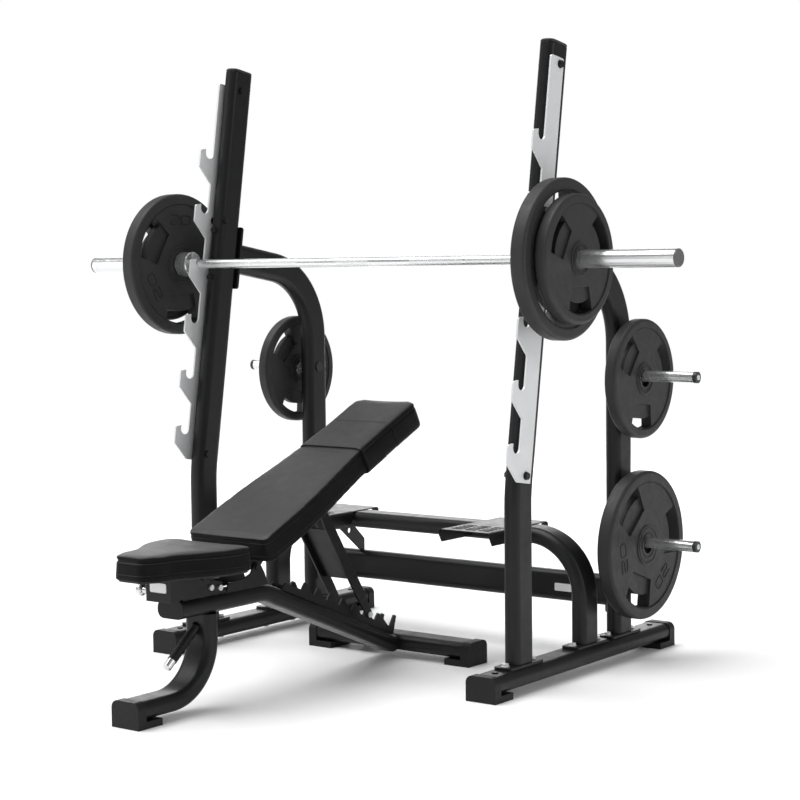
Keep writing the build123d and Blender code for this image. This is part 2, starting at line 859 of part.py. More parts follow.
def make_back_frame():
    under = -PAD_SOFT - BOARD_T
    strap_t = 4
    bar_low = under - 38
    pivot_u = 41.3
    bar_end = 470
    outline = [
        pad_point(14, under - strap_t),
        pad_point(bar_end, under - strap_t),
        pad_point(bar_end, under - strap_t - 22),
        pad_point(380, bar_low),
        pad_point(110, bar_low),
        (BACK_PIVOT[0] + 16, BACK_PIVOT[1] - 4),
        (BACK_PIVOT[0] + 6, BACK_PIVOT[1] - 15),
        (BACK_PIVOT[0] - 8, BACK_PIVOT[1] - 14),
        (BACK_PIVOT[0] - 17, BACK_PIVOT[1] - 2),
    ]
    prop_y, prop_z = prop_pivot()
    holes = ((*BACK_PIVOT, PIN_R + FIT), (prop_y, prop_z, PIN_R))
    write(side_plates(outline, FRAME_BAR_X, holes), "back_frame_bars")
    with BuildPart() as straps:
        with BuildSketch(pad_plane(under - strap_t)):
            with Locations((0, pivot_u + 40), (0, 270), (0, 440)):
                RectangleRounded(200, 44, 8)
        extrude(amount=strap_t)
    write(straps, "back_frame_straps")
    reach = PROP_ARM_X[1] + 0.3
    with BuildPart() as pin:
        rod((-reach, prop_y, prop_z), (reach, prop_y, prop_z), PIN_R)
        for sign in SIDES.values():
            rod((sign * reach, prop_y, prop_z), (sign * (reach + 4), prop_y, prop_z), PIN_R + 3)
    write(pin, "prop_pin")


def make_back_bracket():
    outline = [
        (-535, RAIL_TOP),
        (-524, 340),
        (-470, 341),
        (-434, 353),
        (-416, 378),
        (-405, 383),
        (-394, 378),
        (-376, 350),
        (-360, RAIL_TOP),
    ]
    holes = ((*BACK_PIVOT, PIN_R),)
    write(side_plates(outline, BRACKET_X, holes), "back_bracket")


# Prop and ladder


def prop_pivot():
    y = PROP_FOOT[0] + PROP_LENGTH * PROP_LEAN[0]
    z = PROP_FOOT[1] + PROP_LENGTH * PROP_LEAN[1]
    return y, z


def make_prop():
    y, z = prop_pivot()
    foot_y, foot_z = PROP_FOOT
    inner, outer = PROP_ARM_X
    outline = ((0, 12), (90, 18), (PROP_LENGTH - 75, 18), (PROP_LENGTH, 10.5))
    with BuildPart() as arms:
        with BuildSketch(side_plane(inner)):
            for run, radius in outline:
                with Locations((foot_y + run * PROP_LEAN[0], foot_z + run * PROP_LEAN[1])):
                    Circle(radius)
            make_hull()
            with Locations((y, z)):
                Circle(PIN_R + FIT, mode=Mode.SUBTRACT)
            with Locations((foot_y, foot_z)):
                Circle(PIN_R, mode=Mode.SUBTRACT)
        extrude(amount=outer - inner)
        mirror(about=Plane.YZ)
    write(arms, "prop_arms")
    plate_from = 140
    plate_to = 330
    plate_t = 4
    along = Vector(0, *PROP_LEAN)
    centre = Vector(0, foot_y, foot_z) + along * ((plate_from + plate_to) / 2)
    normal = Vector(1, 0, 0).cross(along)
    with BuildPart() as plate:
        with BuildSketch(Plane(origin=centre - normal * (plate_t / 2), x_dir=(1, 0, 0), z_dir=normal)):
            Rectangle(2 * inner, plate_to - plate_from)
        extrude(amount=plate_t)
    write(plate, "prop_cross_plate")
    stud_in = TUBE_W / 2 + 1.5
    with BuildPart() as studs:
        for sign in SIDES.values():
            rod((sign * stud_in, foot_y, foot_z), (sign * outer, foot_y, foot_z), PIN_R)
            rod((sign * outer, foot_y, foot_z), (sign * (outer + 4), foot_y, foot_z), PIN_R + 3)
    write(studs, "prop_studs")


def make_ladder():
    top = TUBE_D / 2
    valley = top + 22
    crest = top + 45
    outline = [slope(70, top), slope(LADDER_FIRST - 90, valley)]
    for i in range(LADDER_TEETH):
        tip = LADDER_FIRST + i * LADDER_PITCH
        outline += [
            slope(tip - 28, valley),
            slope(tip - 14, valley),
            slope(tip - 7, crest),
            slope(tip + 4, crest),
        ]
    outline += [
        slope(598, valley),
        slope(610, valley),
        slope(618, crest + 14),
        slope(630, crest + 14),
        slope(636, top),
    ]
    write(side_plates(outline, LADDER_X), "ladder_plates")


# Seat


def seat_outline(inset):
    """Seat pad outline: wide at the rear, narrowing to a nose."""
    rear = -541 - inset
    nose = -871 + inset
    wide = 154 - inset
    slim = 55 - inset
    waist = 82 - inset
    with BuildSketch() as outline:
        with BuildLine():
            Line((0, rear), (wide, rear))
            Line((wide, rear), (wide, -600))
            Bezier((wide, -600), (wide, -690), (waist, -730), (waist, -800))
            Bezier((waist, -800), (waist, -830), (slim, -840), (slim, nose))
            Line((slim, nose), (0, nose))
            Line((0, nose), (0, rear))
        make_face()
        mirror(about=Plane.YZ)
        corners = outline.vertices().group_by(Axis.Y)
        fillet(corners[0] + corners[-1], 28 - inset)
    return outline.sketch


def make_seat():
    board_low = SEAT_TOP - SEAT_SOFT - BOARD_T
    with BuildPart() as pad:
        with BuildSketch(Plane.XY.offset(SEAT_TOP - SEAT_SOFT)):
            add(seat_outline(0))
        extrude(amount=SEAT_SOFT)
    write(pad, "seat_pad")
    with BuildPart() as board:
        with BuildSketch(Plane.XY.offset(board_low)):
            add(seat_outline(8))
        extrude(amount=BOARD_T)
    write(board, "seat_board")
    outline = [
        (-757, 316),
        (-757, board_low),
        (-562, board_low),
        (-562, 372),
        (-619, 353),
        (-728, 316),
    ]
    inner, outer = CARRIER_X
    with BuildPart() as carrier:
        with BuildSketch(side_plane(-outer)):
            with BuildLine():
                Polyline(*outline, close=True)
            make_face()
        extrude(amount=2 * outer)
        with BuildSketch(side_plane(-inner)):
            with Locations((-653, 315)):
                Rectangle(200, 2 * (board_low - 315 - 3))
        extrude(amount=2 * inner, mode=Mode.SUBTRACT)
        rod((-outer, *SEAT_PIVOT), (outer, *SEAT_PIVOT), SEAT_PIN_R + FIT, mode=Mode.SUBTRACT)
        rod((-outer, *SEAT_PIN), (-inner, *SEAT_PIN), SEAT_PIN_R + FIT, mode=Mode.SUBTRACT)
    write(carrier, "seat_carrier")
def make_seat_bracket():
    outline = [
        (-748, 330),
        (-748, 372),
        (-742, 376),
        (-622, 376),
        (-600, 357),
        (-545, 346),
        (-540, RAIL_TOP),
        (-700, RAIL_TOP),
        (-715, 330),
    ]
    reach = hypot(SEAT_PIN[0] - SEAT_PIVOT[0], SEAT_PIN[1] - SEAT_PIVOT[1])
    rest = atan2(SEAT_PIN[1] - SEAT_PIVOT[1], SEAT_PIN[0] - SEAT_PIVOT[0])
    holes = [(*SEAT_PIVOT, SEAT_PIN_R)]
    for tilt in (0, 12):
        angle = rest - radians(tilt)
        y = SEAT_PIVOT[0] + reach * cos(angle)
        z = SEAT_PIVOT[1] + reach * sin(angle)
        holes.append((y, z, SEAT_PIN_R + FIT))
    write(side_plates(outline, INNER_X, holes), "seat_bracket")


def make_bench_pins():
    """Seat pivot, backrest pivot and the seat bracket's screws."""
    seat_end = CARRIER_X[1] + 0.5
    back_end = BRACKET_X[1]
    with BuildPart() as pins:
        rod((-seat_end, *SEAT_PIVOT), (seat_end, *SEAT_PIVOT), SEAT_PIN_R)
        rod((-back_end, *BACK_PIVOT), (back_end, *BACK_PIVOT), PIN_R)
        for sign in SIDES.values():
            turned = (sign, 0, 0)
            disc(Plane(origin=(sign * seat_end, *SEAT_PIVOT), z_dir=turned), SEAT_PIN_R + 3, 4)
            disc(Plane(origin=(sign * back_end, *BACK_PIVOT), z_dir=turned), PIN_R + 4, 4)
            for bolt in ((-592, 336), (-556, 331)):
                disc(Plane(origin=(sign * INNER_X[1], *bolt), z_dir=turned), 8, 6)
    write(pins, "bench_pins")


def make_pull_pin():
    y, z = SEAT_PIN
    outer = CARRIER_X[1]
    housing_end = outer + 13
    with BuildPart() as housing:
        rod((-outer, y, z), (-housing_end, y, z), 9)
        rod((-outer, y, z), (-housing_end, y, z), SEAT_PIN_R + FIT, mode=Mode.SUBTRACT)
    write(housing, "pull_pin_housing")
    knob_end = housing_end + 32
    knob = [
        (INNER_X[1] + 1, 0),
        (INNER_X[1] + 1, SEAT_PIN_R),
        (housing_end + 1, SEAT_PIN_R),
        (housing_end + 1, 8),
        (housing_end + 10, 9),
        (housing_end + 14, 16),
        (housing_end + 18, 17.5),
        (housing_end + 26, 17.5),
        (knob_end - 1, 13),
        (knob_end, 0),
    ]
    write(revolved(-1, y, z, knob), "pull_pin")


for side_name, side_sign in SIDES.items():
    make_arch(side_name, side_sign)
    make_sleeve(side_name, side_sign)
    make_bar_discs(side_name, side_sign)
make_base()
make_flange_plates()
make_frame_bolts()
make_uprights()
make_hook_plates()
make_cross_beam()
make_spotter()
make_steps()
make_gusset()
make_pegs()
make_plugs()
make_bar()
make_peg_disc("mid_left", -1, "mid", SMALL_DISC, -16)
make_peg_disc("mid_right", 1, "mid", SMALL_DISC, -8)
make_peg_disc("low_right", 1, "low", LARGE_DISC, -20)
make_bench_frame()
make_handle()
make_wheels()
make_back_pad()
make_back_frame()
make_back_bracket()
make_prop()
make_ladder()
make_seat()
make_seat_bracket()
make_bench_pins()
make_pull_pin()
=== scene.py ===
"""Looks of the bench press station: materials, upholstery, small details, light and camera."""

import json
from math import cos, exp, pi, radians, sin

import bmesh
import bpy
import numpy as np
from mathutils import Matrix, Vector


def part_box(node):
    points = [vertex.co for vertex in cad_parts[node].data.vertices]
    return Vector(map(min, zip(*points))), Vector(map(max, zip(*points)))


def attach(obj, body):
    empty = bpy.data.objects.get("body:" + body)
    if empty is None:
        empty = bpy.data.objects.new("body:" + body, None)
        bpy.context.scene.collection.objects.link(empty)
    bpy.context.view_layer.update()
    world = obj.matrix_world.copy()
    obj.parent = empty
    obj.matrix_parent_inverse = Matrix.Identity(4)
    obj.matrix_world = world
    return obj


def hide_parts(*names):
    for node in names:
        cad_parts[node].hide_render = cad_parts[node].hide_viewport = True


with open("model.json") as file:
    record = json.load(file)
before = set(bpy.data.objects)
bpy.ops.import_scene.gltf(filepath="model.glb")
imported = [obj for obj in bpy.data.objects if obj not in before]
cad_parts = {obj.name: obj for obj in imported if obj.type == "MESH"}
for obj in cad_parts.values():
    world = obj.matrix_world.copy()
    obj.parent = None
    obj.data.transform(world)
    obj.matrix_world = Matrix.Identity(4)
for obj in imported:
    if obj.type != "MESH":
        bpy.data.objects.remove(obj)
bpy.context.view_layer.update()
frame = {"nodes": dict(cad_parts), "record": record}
nodes = frame["nodes"]

# The backrest's plane at rest: lower edge of its face, direction to the head, and normal.
PAD_TILT = radians(23.9)
PAD_EDGE = Vector((0, -0.4905, 0.459))
PAD_ALONG = Vector((0, cos(PAD_TILT), sin(PAD_TILT)))
PAD_UP = Vector((0, -sin(PAD_TILT), cos(PAD_TILT)))
PAD_SOFT = 0.060
WRAP = 0.009
BOARD_T = 0.012
COVER_START = 0.512
COVER_SEAM = 0.672
SEAT_TOP = Vector((0, -0.541, 0.450))
SEAT_ALONG = Vector((0, -1, 0))
SEAT_UP = Vector((0, 0, 1))
SEAT_SOFT = 0.055
HANDLE_Y = -0.6150
SIDES = {"left": -1, "right": 1}
WORLD_FILL = 0.30
WORLD_BACKDROP = 1.0
EVEN_OUT_PASSES = 80
SWELL_FRAMES = 20
LET_OUT = 0.0008
CROWN = 0.0045
PAD_VOXEL = 0.005
HOOD_THICK = 0.0036
STITCH_DROP = 0.0045
KNURL_STARTS = 42.0
KNURL_PITCH = 2200.0
KNURL_BANDS = ((0.0, 0.06), (0.215, 0.405), (0.411, 0.62))
PEG_HEIGHTS = (0.362, 0.866)
SEAT_LABEL_HEIGHT = 0.355
BEAM_LABEL_X = 0.416
BEAM_LABEL_HEIGHT = 0.202


# Materials


class Finish:
    """A procedural material, built one layer at a time."""

    def __init__(self, name, roughness, metallic=0.0, specular=0.5):
        self.material = bpy.data.materials.new(name)
        self.material.use_nodes = True
        self.tree = self.material.node_tree
        self.tree.nodes.clear()
        self.shader = self.add("ShaderNodeBsdfPrincipled")
        output = self.add("ShaderNodeOutputMaterial")
        self.link(self.shader.outputs["BSDF"], output.inputs["Surface"])
        self.shader.inputs["Roughness"].default_value = roughness
        self.shader.inputs["Metallic"].default_value = metallic
        self.shader.inputs["Specular IOR Level"].default_value = specular
        self.place = self.add("ShaderNodeTexCoord").outputs["Object"]
        self.color = None
        self.rough = None
        self.normal = None

    def add(self, kind, **values):
        node = self.tree.nodes.new(kind)
        for key, value in values.items():
            setattr(node, key, value)
        return node

    def link(self, out, into):
        self.tree.links.new(out, into)

    def noise(self, scale, detail=4.0, roughness=0.5, stretch=None):
        source = self.place
        if stretch:
            mapping = self.add("ShaderNodeMapping")
            mapping.inputs["Scale"].default_value = stretch
            self.link(source, mapping.inputs["Vector"])
            source = mapping.outputs["Vector"]
        node = self.add("ShaderNodeTexNoise")
        node.inputs["Scale"].default_value = scale
        node.inputs["Detail"].default_value = detail
        node.inputs["Roughness"].default_value = roughness
        self.link(source, node.inputs["Vector"])
        return node.outputs["Fac"]

    def cells(self, scale):
        node = self.add("ShaderNodeTexVoronoi", feature="DISTANCE_TO_EDGE")
        node.inputs["Scale"].default_value = scale
        self.link(self.place, node.inputs["Vector"])
        return node.outputs["Distance"]

    def spread(self, value, from_low, from_high, to_low, to_high):
        node = self.add("ShaderNodeMapRange")
        for key, number in zip(
            ("From Min", "From Max", "To Min", "To Max"),
            (from_low, from_high, to_low, to_high),
        ):
            node.inputs[key].default_value = number
        self.link(value, node.inputs["Value"])
        return node.outputs["Result"]

    def tint(self, factor, first, second):
        """Colour between two, by a factor; either may be a colour or an output."""
        node = self.add("ShaderNodeMix", data_type="RGBA")
        self.link(factor, node.inputs[0])
        for socket, value in ((node.inputs[6], first), (node.inputs[7], second)):
            if isinstance(value, tuple):
                socket.default_value = (*value, 1.0)
            else:
                self.link(value, socket)
        self.color = node.outputs[2]

    def round_edges(self, radius):
        node = self.add("ShaderNodeBevel", samples=4)
        node.inputs["Radius"].default_value = radius
        self.normal = node.outputs["Normal"]

    def worn_and_highlit_edges(self, radius, color, amount):
        """Lighter colour where a face turns over an edge: partly rubbed wear, partly a painted edge
        highlight.
        """
        bevel = self.add("ShaderNodeBevel", samples=4)
        bevel.inputs["Radius"].default_value = radius
        facing = self.add("ShaderNodeNewGeometry")
        dot = self.add("ShaderNodeVectorMath", operation="DOT_PRODUCT")
        self.link(bevel.outputs["Normal"], dot.inputs[0])
        self.link(facing.outputs["Normal"], dot.inputs[1])
        # Edge mask that lightens the colour: rubbed wear and a painted highlight together.
        mask = self.spread(dot.outputs["Value"], 0.72, 0.99, amount, 0.0)
        self.tint(mask, self.color, color)

    def bump(self, height, distance, strength=1.0):
        node = self.add("ShaderNodeBump")
        node.inputs["Distance"].default_value = distance
        node.inputs["Strength"].default_value = strength
        self.link(height, node.inputs["Height"])
        if self.normal:
            self.link(self.normal, node.inputs["Normal"])
        self.normal = node.outputs["Normal"]

    def roughen(self, value):
        self.link(value, self.shader.inputs["Roughness"])

    def done(self):
        if self.color:
            self.link(self.color, self.shader.inputs["Base Color"])
        if self.normal:
            self.link(self.normal, self.shader.inputs["Normal"])
        return self.material


def grey(level, warm=0.0):
    return (level * (1 + warm), level, level * (1 - warm))


def powder_coat():
    finish = Finish("satin_powder_coat", 0.38, specular=0.26)
    finish.tint(finish.noise(5.0, 6.0), grey(0.0065), grey(0.0098, -0.03))
    finish.round_edges(0.0014)
    finish.worn_and_highlit_edges(0.0016, grey(0.05), 0.45)
    finish.roughen(finish.spread(finish.noise(34.0, 8.0, 0.6), 0.3, 0.7, 0.30, 0.44))
    finish.bump(finish.noise(420.0, 3.0), 0.00035, 0.35)
    finish.bump(finish.noise(60.0, 2.0), 0.0006, 0.12)
    return finish.done()


def zinc():
    finish = Finish("zinc_plate", 0.38, metallic=0.15)
    finish.tint(finish.noise(14.0, 7.0), grey(0.66, -0.01), grey(0.80, -0.012))
    finish.round_edges(0.0010)
    finish.worn_and_highlit_edges(0.0012, grey(0.92), 0.5)
    brushed = finish.noise(70.0, 6.0, 0.7, stretch=(1.0, 9.0, 0.6))
    finish.roughen(finish.spread(brushed, 0.3, 0.7, 0.26, 0.46))
    finish.bump(brushed, 0.0002, 0.35)
    return finish.done()


def chrome():
    finish = Finish("polished_chrome", 0.2, metallic=0.85)
    finish.tint(finish.noise(9.0, 5.0), grey(0.66, -0.006), grey(0.77, -0.008))
    finish.round_edges(0.0008)
    finish.roughen(finish.spread(finish.noise(55.0, 8.0, 0.65), 0.35, 0.75, 0.15, 0.28))
    finish.bump(finish.noise(900.0, 2.0), 0.00006, 0.2)
    return finish.done()


def knurled_chrome():
    """Bar shaft: crossed knurl with plain bands, which follow the distance from the middle."""
    low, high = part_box("bar_shaft")
    middle = (low + high) / 2
    finish = Finish("knurled_bar_chrome", 0.2, metallic=0.8)
    split = finish.add("ShaderNodeSeparateXYZ")
    shift = finish.add("ShaderNodeVectorMath", operation="SUBTRACT")
    finish.link(finish.place, shift.inputs[0])
    shift.inputs[1].default_value = middle
    finish.link(shift.outputs[0], split.inputs[0])

    def maths(operation, first, second=None):
        node = finish.add("ShaderNodeMath", operation=operation)
        for socket, value in zip(node.inputs, (first, second)):
            if value is None:
                continue
            if isinstance(value, (int, float)):
                socket.default_value = value
            else:
                finish.link(value, socket)
        return node.outputs[0]

    across = maths("ABSOLUTE", split.outputs["X"])
    turn = maths("ARCTAN2", split.outputs["Z"], split.outputs["Y"])
    around = maths("MULTIPLY", turn, KNURL_STARTS)
    along = maths("MULTIPLY", across, KNURL_PITCH)
    left_hand = maths("ADD", around, along)
    right_hand = maths("SUBTRACT", around, along)
    diamonds = maths("MULTIPLY", maths("SINE", left_hand), maths("SINE", right_hand))
    grip = None
    for start, end in KNURL_BANDS:
        inside = maths("MULTIPLY", maths("GREATER_THAN", across, start), maths("LESS_THAN", across, end))
        grip = inside if grip is None else maths("ADD", grip, inside)
    finish.tint(grip, grey(0.78, -0.008), grey(0.74, -0.008))
    wear = finish.spread(finish.noise(40.0, 6.0), 0.3, 0.7, 0.02, 0.12)
    finish.roughen(maths("ADD", maths("ADD", wear, 0.08), maths("MULTIPLY", grip, 0.08)))
    finish.bump(maths("MULTIPLY", diamonds, grip), 0.0003, 0.18)
    return finish.done()


def disc_rubber(name="disc_rubber", level=0.0225):
    finish = Finish(name, 0.5, specular=0.34)
    finish.tint(finish.noise(11.0, 6.0), grey(level * 0.85), grey(level * 1.2))
    finish.round_edges(0.0018)
    finish.worn_and_highlit_edges(0.0022, grey(0.062), 0.55)
    speck = finish.spread(finish.noise(520.0, 4.0, 0.7), 0.62, 0.74, 0.0, 0.5)
    finish.tint(speck, finish.color, grey(0.055))
    finish.roughen(finish.spread(finish.noise(45.0, 8.0, 0.65), 0.3, 0.7, 0.42, 0.60))
    finish.bump(finish.noise(380.0, 5.0, 0.6), 0.0005, 0.4)
    return finish.done()


def foot_rubber():
    finish = Finish("foot_rubber", 0.55, specular=0.2)
    finish.tint(finish.noise(20.0, 6.0), grey(0.0085), grey(0.0150))
    finish.round_edges(0.0016)
    finish.worn_and_highlit_edges(0.0018, grey(0.035), 0.5)
    finish.roughen(finish.spread(finish.noise(90.0, 6.0), 0.3, 0.7, 0.36, 0.56))
    finish.bump(finish.noise(500.0, 3.0), 0.0004, 0.4)
    return finish.done()


def bolt_steel(name, bright_below):
    """Black bolts high on the frame, bright ones lower than a height."""
    finish = Finish(name, 0.4, metallic=0.6)
    split = finish.add("ShaderNodeSeparateXYZ")
    finish.link(finish.place, split.inputs[0])
    bright = finish.spread(split.outputs["Z"], bright_below + 0.004, bright_below, 0.0, 1.0)
    grime = finish.noise(60.0, 6.0)
    finish.tint(grime, grey(0.010), grey(0.022))
    dark = finish.color
    finish.tint(grime, grey(0.62), grey(0.74))
    light = finish.color
    finish.tint(bright, dark, light)
    finish.round_edges(0.0008)
    finish.roughen(finish.spread(grime, 0.3, 0.7, 0.3, 0.48))
    finish.bump(finish.noise(500.0, 3.0), 0.0002, 0.3)
    return finish.done()


def moulded_plastic(name, low, high):
    finish = Finish(name, 0.42)
    finish.tint(finish.noise(25.0, 5.0), grey(low), grey(high))
    finish.round_edges(0.0010)
    finish.worn_and_highlit_edges(0.0012, grey(high * 3), 0.4)
    finish.roughen(finish.spread(finish.noise(120.0, 6.0), 0.3, 0.7, 0.34, 0.5))
    finish.bump(finish.noise(700.0, 3.0), 0.0002, 0.35)
    return finish.done()


def hub_steel():
    finish = Finish("hub_steel", 0.35, metallic=0.85)
    finish.tint(finish.noise(30.0, 6.0), grey(0.035), grey(0.060))
    finish.round_edges(0.0008)
    finish.roughen(finish.spread(finish.noise(160.0, 6.0), 0.3, 0.7, 0.34, 0.5))
    finish.bump(finish.noise(600.0, 3.0), 0.0001, 0.15)
    return finish.done()


def vinyl(name, up):
    """Upholstery: the top face is painted paler and glossier than the sides, as painted light on the top
    and painted shade down the sides.
    """
    finish = Finish(name, 0.42, specular=0.5)
    facing = finish.add("ShaderNodeVectorMath", operation="DOT_PRODUCT")
    finish.link(finish.add("ShaderNodeTexCoord").outputs["Normal"], facing.inputs[0])
    facing.inputs[1].default_value = up
    # Mask of faces turned to up: it paints light on the top and shade on the sides, and raises the gloss
    # on the top.
    painted_top_light = finish.spread(facing.outputs["Value"], 0.35, 0.92, 0.0, 1.0)
    finish.tint(finish.noise(7.0, 5.0), grey(0.009), grey(0.0126))
    # Painted shade: faces turned away from up are darkened to grey(0.0045), while the top keeps the
    # paler painted-light colour.
    finish.tint(painted_top_light, grey(0.0045), finish.color)
    finish.link(finish.spread(painted_top_light, 0.0, 1.0, 0.10, 0.50), finish.shader.inputs["Specular IOR Level"])
    finish.roughen(finish.spread(finish.noise(22.0, 8.0, 0.6), 0.3, 0.7, 0.38, 0.52))
    finish.bump(finish.noise(16.0, 3.0), 0.004, 0.12)
    grain = finish.spread(finish.cells(620.0), 0.0, 0.25, 0.0, 1.0)
    finish.bump(grain, 0.00035, 0.5)
    finish.bump(finish.noise(240.0, 4.0), 0.0003, 0.25)
    finish.link(finish.spread(painted_top_light, 0.0, 1.0, 0.0, 0.15), finish.shader.inputs["Sheen Weight"])
    finish.shader.inputs["Sheen Roughness"].default_value = 0.35
    return finish.done()


def stained_board():
    finish = Finish("stained_board", 0.6)
    rings = finish.noise(30.0, 7.0, 0.6, stretch=(6.0, 0.7, 6.0))
    finish.tint(rings, (0.008, 0.007, 0.006), (0.016, 0.013, 0.011))
    finish.round_edges(0.0012)
    finish.roughen(finish.spread(rings, 0.3, 0.7, 0.5, 0.7))
    finish.bump(rings, 0.0004, 0.5)
    return finish.done()


def printed_plate():
    finish = Finish("blank_label", 0.35)
    finish.tint(finish.noise(60.0, 5.0), grey(0.82), grey(0.90))
    finish.round_edges(0.0005)
    finish.roughen(finish.spread(finish.noise(150.0, 5.0), 0.3, 0.7, 0.28, 0.42))
    finish.bump(finish.noise(900.0, 2.0), 0.0001, 0.2)
    return finish.done()


def thread():
    finish = Finish("seam_thread", 0.6)
    twist = finish.noise(900.0, 3.0)
    finish.tint(twist, grey(0.030), grey(0.070))
    finish.roughen(finish.spread(twist, 0.3, 0.7, 0.5, 0.7))
    finish.bump(twist, 0.0003, 0.6)
    return finish.done()


BLACK_COAT = powder_coat()
CHROME = chrome()
BACK_VINYL = vinyl("back_vinyl", PAD_UP)
SEAT_VINYL = vinyl("seat_vinyl", SEAT_UP)
THREAD = thread()
DISC_RUBBER = disc_rubber()
DISC_MARKS = disc_rubber("disc_marks_rubber", 0.006)
LABEL = printed_plate()
BLACK_PLASTIC = moulded_plastic("black_plastic", 0.009, 0.016)
ZINC = zinc()
FINISHES = {
    "black_coat": BLACK_COAT,
    "zinc_steel": ZINC,
    "chrome": CHROME,
    "disc_rubber": DISC_RUBBER,
    "foot_rubber": foot_rubber(),
    "hub_steel": hub_steel(),
    "black_plastic": BLACK_PLASTIC,
    "grey_plastic": moulded_plastic("grey_end_cap", 0.085, 0.12),
    "vinyl": BACK_VINYL,
    "board": stained_board(),
}


def paint(obj, material):
    if not obj.material_slots:
        obj.data.materials.append(None)
    for slot in obj.material_slots:
        slot.link = "OBJECT"
        slot.material = material


for subpart in frame["record"]["subparts"]:
    paint(nodes[subpart["node"]], FINISHES[subpart["material_slot"]])
paint(nodes["tube_plugs"], moulded_plastic("plug_plastic", 0.002, 0.004))
paint(nodes["bar_shaft"], knurled_chrome())
paint(nodes["frame_bolts"], bolt_steel("frame_bolt_steel", 0.2))
paint(nodes["bench_pins"], bolt_steel("bench_bolt_steel", 0.35))


# Mesh helpers


def link_piece(name, mesh, material, body, smooth=True):
    piece = bpy.data.objects.new(name, mesh)
    bpy.context.scene.collection.objects.link(piece)
    for face in mesh.polygons:
        face.use_smooth = smooth
    mesh.materials.append(material)
    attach(piece, body)
    return piece


def mesh_from(shape):
    mesh = bpy.data.meshes.new("shape")
    bmesh.ops.recalc_face_normals(shape, faces=shape.faces)
    shape.to_mesh(mesh)
    shape.free()
    return mesh


def tube(shape, points, radius, closed=False, sides=10, ripple=0.0, waves=1.0, flat=1.0, up=None):
    """Sweeps a round or flattened section along the points; ripple makes a weld's scales."""
    count = len(points)
    rings = []
    previous = None
    for i, point in enumerate(points):
        if closed:
            ahead = points[(i + 1) % count] - points[i - 1]
        else:
            ahead = points[min(i + 1, count - 1)] - points[max(i - 1, 0)]
        ahead.normalize()
        guide = up if up is not None else (previous if previous is not None else ahead.orthogonal())
        side = (guide - ahead * guide.dot(ahead)).normalized()
        other = ahead.cross(side)
        previous = side
        size = radius * (1 + ripple * sin(waves * i))
        ring = []
        for k in range(sides):
            angle = 2 * pi * k / sides
            offset = side * (flat * cos(angle)) + other * sin(angle)
            ring.append(shape.verts.new(point + offset * size))
        rings.append(ring)
    spans = count if closed else count - 1
    for i in range(spans):
        first = rings[i]
        second = rings[(i + 1) % count]
        for k in range(sides):
            n = (k + 1) % sides
            shape.faces.new((first[k], first[n], second[n], second[k]))
    if not closed:
        shape.faces.new(rings[0][::-1])
        shape.faces.new(rings[-1])


def circle(centre, normal, radius, count=48):
    first = normal.orthogonal().normalized()
    second = normal.cross(first)
    return [
        centre + (first * cos(2 * pi * i / count) + second * sin(2 * pi * i / count)) * radius
        for i in range(count)
    ]


def rounded_path(corners, radius, closed, steps=5):
    """Points along straight runs, with each corner replaced by a curve."""
    path = []
    count = len(corners)
    for i, corner in enumerate(corners):
        if not closed and i in (0, count - 1):
            path.append(corner)
            continue
        back = corners[i - 1] - corner
        ahead = corners[(i + 1) % count] - corner
        first = corner + back.normalized() * min(radius, back.length / 2)
        last = corner + ahead.normalized() * min(radius, ahead.length / 2)
        for k in range(steps + 1):
            t = k / steps
            path.append(first * (1 - t) ** 2 + corner * (2 * t * (1 - t)) + last * t ** 2)
    return path


def resample(points, step, closed=True):
    """Evenly spaced points along a polyline."""
    line = points + [points[0]] if closed else points
    result = []
    carry = 0.0
    for a, b in zip(line, line[1:]):
        length = (b - a).length
        while carry < length:
            result.append(a.lerp(b, carry / length))
            carry += step
        carry -= length
    return result


def section_loop(obj, origin, normal):
    """Ordered outline of the mesh where a plane cuts it; the longest loop is returned."""
    shape = bmesh.new()
    shape.from_mesh(obj.data)
    cut = bmesh.ops.bisect_plane(
        shape,
        geom=shape.verts[:] + shape.edges[:] + shape.faces[:],
        plane_co=origin,
        plane_no=normal,
        clear_inner=True,
        clear_outer=True,
    )["geom_cut"]
    edges = {e for e in cut if isinstance(e, bmesh.types.BMEdge)}
    loops = []
    while edges:
        edge = edges.pop()
        start, vert = edge.verts
        loop = [start.co.copy(), vert.co.copy()]
        while vert != start:
            following = [e for e in vert.link_edges if e in edges]
            if not following:
                break
            edges.discard(following[0])
            vert = following[0].other_vert(vert)
            loop.append(vert.co.copy())
        loops.append(loop)
    shape.free()
    best = max(loops, key=lambda points: sum((b - a).length for a, b in zip(points, points[1:])))
    return best[:-1] if (best[0] - best[-1]).length < 1e-6 else best


def smooth_loop(points, passes=3):
    for _ in range(passes):
        count = len(points)
        points = [(points[i - 1] + points[i] * 2 + points[(i + 1) % count]) / 4 for i in range(count)]
    return points


# Upholstery


def baked(obj):
    """Replaces the object's mesh by its evaluated mesh and drops the modifiers."""
    graph = bpy.context.evaluated_depsgraph_get()
    graph.update()
    mesh = bpy.data.meshes.new_from_object(obj.evaluated_get(graph))
    obj.modifiers.clear()
    obj.data = mesh


def positions(mesh):
    flat = np.zeros(len(mesh.vertices) * 3)
    mesh.vertices.foreach_get("co", flat)
    return flat.reshape(-1, 3)


